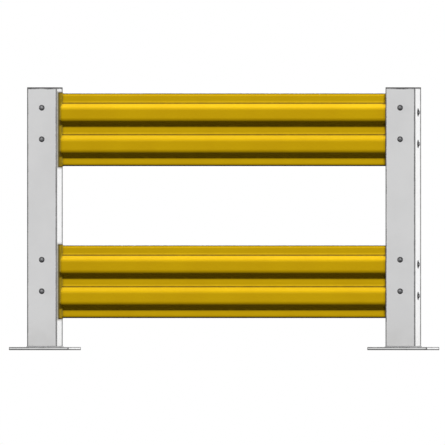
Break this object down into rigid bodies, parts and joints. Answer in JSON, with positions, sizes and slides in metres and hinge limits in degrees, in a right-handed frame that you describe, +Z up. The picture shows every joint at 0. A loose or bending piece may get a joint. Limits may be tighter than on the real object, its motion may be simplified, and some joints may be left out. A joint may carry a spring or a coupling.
{
  "type": "industrial guard rail",
  "caption": "Steel guard rail: two square posts on floor plates with corrugated rails bolted between them.",
  "frame": {"origin": "on the floor under the middle of the rails, midway between the two posts", "axes": "+X along the rails, the rails' ridges and the cross bolts' heads face -Y, +Z up"},
  "size_m": [1.7906, 0.254, 1.1017],
  "materials": {
    "post_coat": "light grey powder coat",
    "rail_coat": "safety yellow powder coat",
    "bolt_steel": "dark grey plated steel"
  },
  "bodies": {
    "root": {"left_base_plate": "post_coat", "right_base_plate": "post_coat", "left_foot_weld": "post_coat", "right_foot_weld": "post_coat", "left_post": "post_coat", "right_post": "post_coat", "left_post_cap": "post_coat", "right_post_cap": "post_coat", "upper_rail": "rail_coat", "lower_rail": "rail_coat", "upper_left_end_plate": "rail_coat", "upper_right_end_plate": "rail_coat", "lower_left_end_plate": "rail_coat", "lower_right_end_plate": "rail_coat", "left_lower_low_rail_bolt": "bolt_steel", "left_lower_high_rail_bolt": "bolt_steel", "left_upper_low_rail_bolt": "bolt_steel", "left_upper_high_rail_bolt": "bolt_steel", "left_lower_low_rail_nut": "bolt_steel", "left_lower_high_rail_nut": "bolt_steel", "left_upper_low_rail_nut": "bolt_steel", "left_upper_high_rail_nut": "bolt_steel", "left_lower_low_cross_bolt": "bolt_steel", "left_lower_high_cross_bolt": "bolt_steel", "left_upper_low_cross_bolt": "bolt_steel", "left_upper_high_cross_bolt": "bolt_steel", "left_lower_low_cross_nut": "bolt_steel", "left_lower_high_cross_nut": "bolt_steel", "left_upper_low_cross_nut": "bolt_steel", "left_upper_high_cross_nut": "bolt_steel", "right_lower_low_rail_bolt": "bolt_steel", "right_lower_high_rail_bolt": "bolt_steel", "right_upper_low_rail_bolt": "bolt_steel", "right_upper_high_rail_bolt": "bolt_steel", "right_lower_low_rail_nut": "bolt_steel", "right_lower_high_rail_nut": "bolt_steel", "right_upper_low_rail_nut": "bolt_steel", "right_upper_high_rail_nut": "bolt_steel", "right_lower_low_cross_bolt": "bolt_steel", "right_lower_high_cross_bolt": "bolt_steel", "right_upper_low_cross_bolt": "bolt_steel", "right_upper_high_cross_bolt": "bolt_steel", "right_lower_low_cross_nut": "bolt_steel", "right_lower_high_cross_nut": "bolt_steel", "right_upper_low_cross_nut": "bolt_steel", "right_upper_high_cross_nut": "bolt_steel"}
  },
  "joints": []
}
